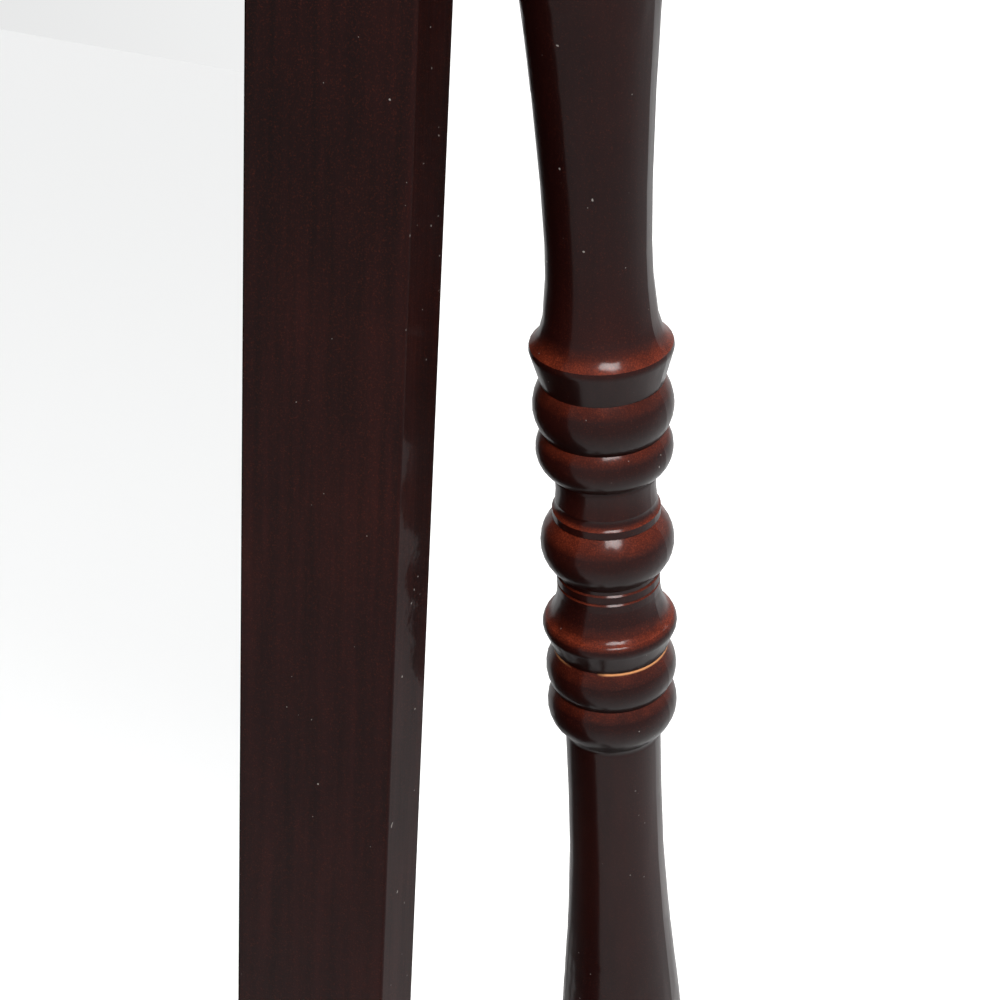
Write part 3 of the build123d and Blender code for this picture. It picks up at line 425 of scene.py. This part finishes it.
def mirror_silver():
    """Silvered glass with a trace of haze."""
    shader = Shader("mirror_silver")
    haze = shader.noise(shader.mapping((1, 1, 1)), 30, 4)
    shader.set(Base_Color=(0.96, 0.965, 0.965, 1), Metallic=1.0)
    shader.set(Roughness=shader.grey(haze, 0.3, 0.006, 0.75, 0.016))
    return shader.material


# ---------------------------------------------------------------- soft pieces
def new_piece(name, mesh):
    """Add a mesh to the scene as an object."""
    piece = bpy.data.objects.new(name, mesh)
    bpy.context.scene.collection.objects.link(piece)
    return piece


def bake(piece):
    """Put a piece's modifiers into its mesh."""
    depsgraph = bpy.context.evaluated_depsgraph_get()
    mesh = bpy.data.meshes.new_from_object(piece.evaluated_get(depsgraph))
    piece.modifiers.clear()
    piece.data = mesh


CLOTH_PRESSURE = 4.0
CLOTH_FRAMES = 20


def inflate(piece, voxel, cap):
    """Swell a closed piece by a short cloth simulation, moving no point further than the cap."""
    remesh = piece.modifiers.new("remesh", "REMESH")
    remesh.mode = "VOXEL"
    remesh.voxel_size = voxel
    bake(piece)
    start = [vertex.co.copy() for vertex in piece.data.vertices]
    cloth = piece.modifiers.new("cloth", "CLOTH")
    cloth.settings.use_pressure = True
    cloth.settings.uniform_pressure_force = CLOTH_PRESSURE
    cloth.settings.effector_weights.gravity = 0.0
    scene = bpy.context.scene
    for step in range(1, CLOTH_FRAMES + 1):
        scene.frame_set(step)
    bake(piece)
    for vertex, rest in zip(piece.data.vertices, start):
        move = vertex.co - rest
        if move.length > cap:
            vertex.co = rest + move * (cap / move.length)
    scene.frame_set(1)


END_TAPER = 0.18            # share by which a block's section shrinks at its two ends
END_TAPER_POWER = 16


def rounded_block(name, half, power, segments):
    """Closed bar with rounded superellipse sections that draw in at both ends."""
    mesh = bpy.data.meshes.new(name)
    grid = bmesh.new()
    bmesh.ops.create_cube(grid, size=2.0)
    bmesh.ops.subdivide_edges(grid, edges=grid.edges[:], cuts=segments, use_grid_fill=True)
    for vertex in grid.verts:
        x, y, z = vertex.co
        bulge = (abs(y) ** power + abs(z) ** power) ** (1 / power)
        flat = max(abs(y), abs(z))
        squeeze = flat / bulge if bulge else 1.0
        taper = 1 - END_TAPER * abs(x) ** END_TAPER_POWER
        vertex.co = (x * half[0], y * squeeze * taper * half[1], z * squeeze * taper * half[2])
    grid.to_mesh(mesh)
    grid.free()
    return new_piece(name, mesh)


def fit_to(piece, low, high):
    """Stretch a piece to fill a box on the cabinet's axes, then lean it with the cabinet."""
    points = [vertex.co for vertex in piece.data.vertices]
    for axis in range(3):
        least = min(point[axis] for point in points)
        most = max(point[axis] for point in points)
        for point in points:
            point[axis] = low[axis] + (point[axis] - least) * (high[axis] - low[axis]) / (most - least)
    piece.data.transform(cabinet_frame)


def finish_soft(piece, material):
    """Smooth a soft piece, put it on the cabinet and give it its velvet."""
    for polygon in piece.data.polygons:
        polygon.use_smooth = True
    piece.data.materials.append(material)
    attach(piece, "cabinet")


RING_ROLL_COUNT = 8
ROLL_GAP = 0.0016
ROLL_OVERLAP = 0.4          # share of the gap left between the swollen rolls
ROLL_DENT = 0.0005
PAD_THICKNESS = 0.005
PAD_CROWN = 0.0012
PAD_CLEARANCE = 0.0003      # over the shelf under it
SWELL_ROOM = 0.001          # each side, for the cloth to swell into
LINER_COLUMNS = 40
LINER_ROWS = 160
LINER_LIFT = 0.0004
LINER_TURN = 0.0012         # depth of the turned-in edge
LINER_RIPPLE = 0.0001


def make_ring_rolls(material):
    """Stuffed velvet rolls, one above another, each drawn in at its sewn ends."""
    low, high = cabinet_box("ring_rolls")
    pitch = (high.z - low.z + ROLL_GAP) / RING_ROLL_COUNT
    half = (high - low) / 2
    roll_half = (half.x - SWELL_ROOM, half.y - SWELL_ROOM, (pitch - ROLL_GAP) / 2 - SWELL_ROOM)
    pattern = rounded_block("roll_pattern", roll_half, 2.6, 9)
    inflate(pattern, 0.0026, 0.0012)
    pattern.modifiers.new("smooth", "SUBSURF")
    bake(pattern)
    for index in range(RING_ROLL_COUNT):
        roll = new_piece(f"ring_roll_{index + 1}", pattern.data.copy())
        bottom = low.z + index * pitch
        fit_to(roll, (low.x, low.y, bottom), (high.x, high.y, bottom + pitch - ROLL_GAP * ROLL_OVERLAP))
        for vertex in roll.data.vertices:
            dent = noise.noise(vertex.co * 60 + Vector((index * 3.0, 0, 0)))
            vertex.co.y += ROLL_DENT * (dent - 0.6)
        finish_soft(roll, material)
        if index == 0:
            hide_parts("ring_rolls")
    bpy.data.objects.remove(pattern)


def make_shelf_pads(material):
    """Thin crowned pads on the floors of the three lower compartments."""
    low, high = cabinet_box("shelf_pads")
    floors = [cabinet_box(name)[1].z for name in ("shelf_earring", "shelf_bracelet", "box_bottom")]
    half = (high - low) / 2
    pad_half = (half.x - SWELL_ROOM, half.y - SWELL_ROOM, PAD_THICKNESS / 2)
    pattern = rounded_block("pad_pattern", pad_half, 8, 11)
    inflate(pattern, 0.0022, 0.0016)
    pattern.modifiers.new("smooth", "SUBSURF")
    bake(pattern)
    for index, floor in enumerate(floors):
        pad = new_piece(f"shelf_pad_{index + 1}", pattern.data.copy())
        base = floor + PAD_CLEARANCE
        fit_to(pad, (low.x, low.y, base), (high.x, high.y, base + PAD_THICKNESS + PAD_CROWN))
        finish_soft(pad, material)
        if index == 0:
            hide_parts("shelf_pads")
    bpy.data.objects.remove(pattern)


def make_liner(material):
    """Velvet stretched over the inside of the back, with its edges turned in."""
    low, high = cabinet_box("back_liner")
    width, height = high.x - low.x, high.z - low.z
    mesh = bpy.data.meshes.new("back_velvet")
    sheet = bmesh.new()
    grid = []
    for row in range(LINER_ROWS + 1):
        line = []
        for column in range(LINER_COLUMNS + 1):
            across, up = column / LINER_COLUMNS, row / LINER_ROWS
            edge = min(across, 1 - across, up * height / width, (1 - up) * height / width)
            turn = math.exp(-edge * 90)
            x = low.x + across * width
            z = low.z + up * height
            ripple = LINER_RIPPLE * noise.noise((x * 25, z * 12, 0))
            y = low.y + LINER_LIFT + LINER_TURN * turn + ripple
            line.append(sheet.verts.new(cabinet_frame @ Vector((x, y, z))))
        grid.append(line)
    for lower, upper in zip(grid, grid[1:]):
        for column in range(LINER_COLUMNS):
            sheet.faces.new((lower[column], lower[column + 1], upper[column + 1], upper[column]))
    sheet.to_mesh(mesh)
    sheet.free()
    liner = new_piece("back_velvet", mesh)
    finish_soft(liner, material)
    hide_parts("back_liner")


# ---------------------------------------------------------------- the armoire
def starting(*starts):
    """Names of the CAD nodes that start with any of these words."""
    return [name for name in slots if name.startswith(starts)]


GLOSS = (0.25, 0.14)        # lacquer and its roughness on the turned and shaped wood
FLAT_GLOSS = (0.12, 0.06)
SATIN = (0.1, 0.25)


def paint_wood():
    """Stained wood for every wooden node, each with its grain along its length."""
    paint(stained_wood("post_wood", ALONG_Z, *GLOSS, 0.5, turned=True), *starting("post_", "finial_"))
    paint(stained_wood("knob_wood", ALONG_X, *GLOSS, 0.6), "tilt_knob_left", "tilt_knob_right", "bolt_caps")
    paint(stained_wood("foot_wood", ALONG_Y, *GLOSS, 0.55), *starting("foot_front"))
    paint(stained_wood("rear_foot_wood", ALONG_Y, *GLOSS, 0.55), *starting("foot_rear"))
    paint(stained_wood("frame_wood", ALONG_CABINET, *FLAT_GLOSS, 0.47), *starting("frame_stile"))
    paint(stained_wood("rail_wood", ALONG_X, *FLAT_GLOSS, 0.47), *starting("frame_rail"), "lower_stretcher")
    tall = starting("box_side", "pivot_block")
    paint(stained_wood("box_wood", ALONG_CABINET, *SATIN, 0.55), *tall)
    wide = [name for name in slots if slots[name] == "satin_dark_wood" and name not in tall]
    paint(stained_wood("shelf_wood", ALONG_X, *SATIN, 0.7), *wide)


def paint_rest():
    """Board, bare wood, metal, plastic and mirror, by the record's material slots."""
    made = {
        "painted_board": painted_board(),
        "pale_dowel": bare_dowel(),
        "steel": metal("zinc_steel", (0.42, 0.42, 0.43), (0.58, 0.58, 0.58), 0.28, (1, 0.05, 1)),
        "brass": metal("polished_brass", (0.5, 0.32, 0.11), (0.72, 0.5, 0.2), 0.14, (0.05, 1, 1)),
        "nylon": moulded_plastic("dark_nylon", (0.06, 0.05, 0.045)),
        "catch_plastic": moulded_plastic("brown_plastic", (0.05, 0.03, 0.025)),
        "mirror": mirror_silver(),
    }
    for name, slot in slots.items():
        if slot in made:
            paint(made[slot], name)


make_camera()
make_stage()
paint_wood()
paint_rest()
pile = velvet()
make_ring_rolls(pile)
make_shelf_pads(pile)
make_liner(pile)
